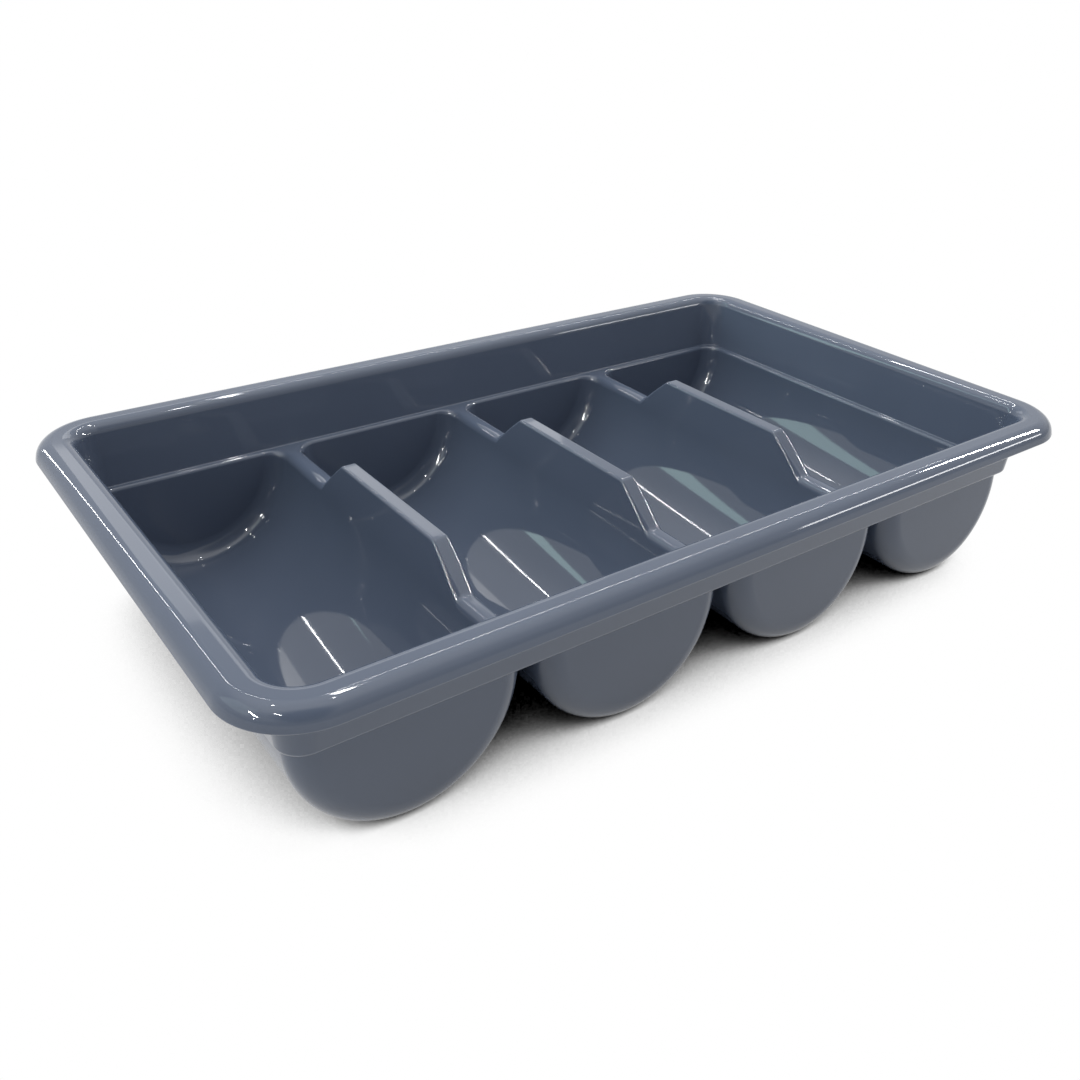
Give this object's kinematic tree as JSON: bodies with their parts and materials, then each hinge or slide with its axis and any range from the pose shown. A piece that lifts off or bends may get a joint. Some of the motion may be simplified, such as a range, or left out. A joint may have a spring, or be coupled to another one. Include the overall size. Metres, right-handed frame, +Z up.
{
  "type": "cutlery drawer organizer",
  "caption": "Rectangular cutlery tray with a down-turned lip, round-bottomed bowls side by side and low raised dividers, moulded in glossy slate-grey plastic.",
  "frame": {"origin": "middle of the footprint, on the surface that the tray stands on", "axes": "+X along the long side, across the bowls; +Y along the bowls; +Z up"},
  "size_m": [0.53, 0.325, 0.096],
  "materials": {
    "plastic": "gloss"
  },
  "bodies": {
    "root": {"lip_front": "plastic", "lip_right": "plastic", "lip_back": "plastic", "lip_left": "plastic", "lip_corners": "plastic", "rim_front": "plastic", "rim_right": "plastic", "rim_back": "plastic", "rim_left": "plastic", "rim_corners": "plastic", "wall_front": "plastic", "wall_right": "plastic", "wall_back": "plastic", "wall_left": "plastic", "wall_corners": "plastic", "side_edge_left": "plastic", "side_edge_right": "plastic", "trough_1": "plastic", "trough_2": "plastic", "trough_3": "plastic", "trough_4": "plastic", "bowl_sides_1": "plastic", "bowl_sides_2": "plastic", "bowl_sides_3": "plastic", "bowl_sides_4": "plastic", "end_walls_1": "plastic", "end_walls_2": "plastic", "end_walls_3": "plastic", "end_walls_4": "plastic", "end_corners_1": "plastic", "end_corners_2": "plastic", "end_corners_3": "plastic", "end_corners_4": "plastic", "end_edges_1": "plastic", "end_edges_2": "plastic", "end_edges_3": "plastic", "end_edges_4": "plastic", "divider_1": "plastic", "divider_2": "plastic", "divider_3": "plastic", "saddles_1": "plastic", "saddles_2": "plastic", "saddles_3": "plastic"}
  },
  "joints": []
}
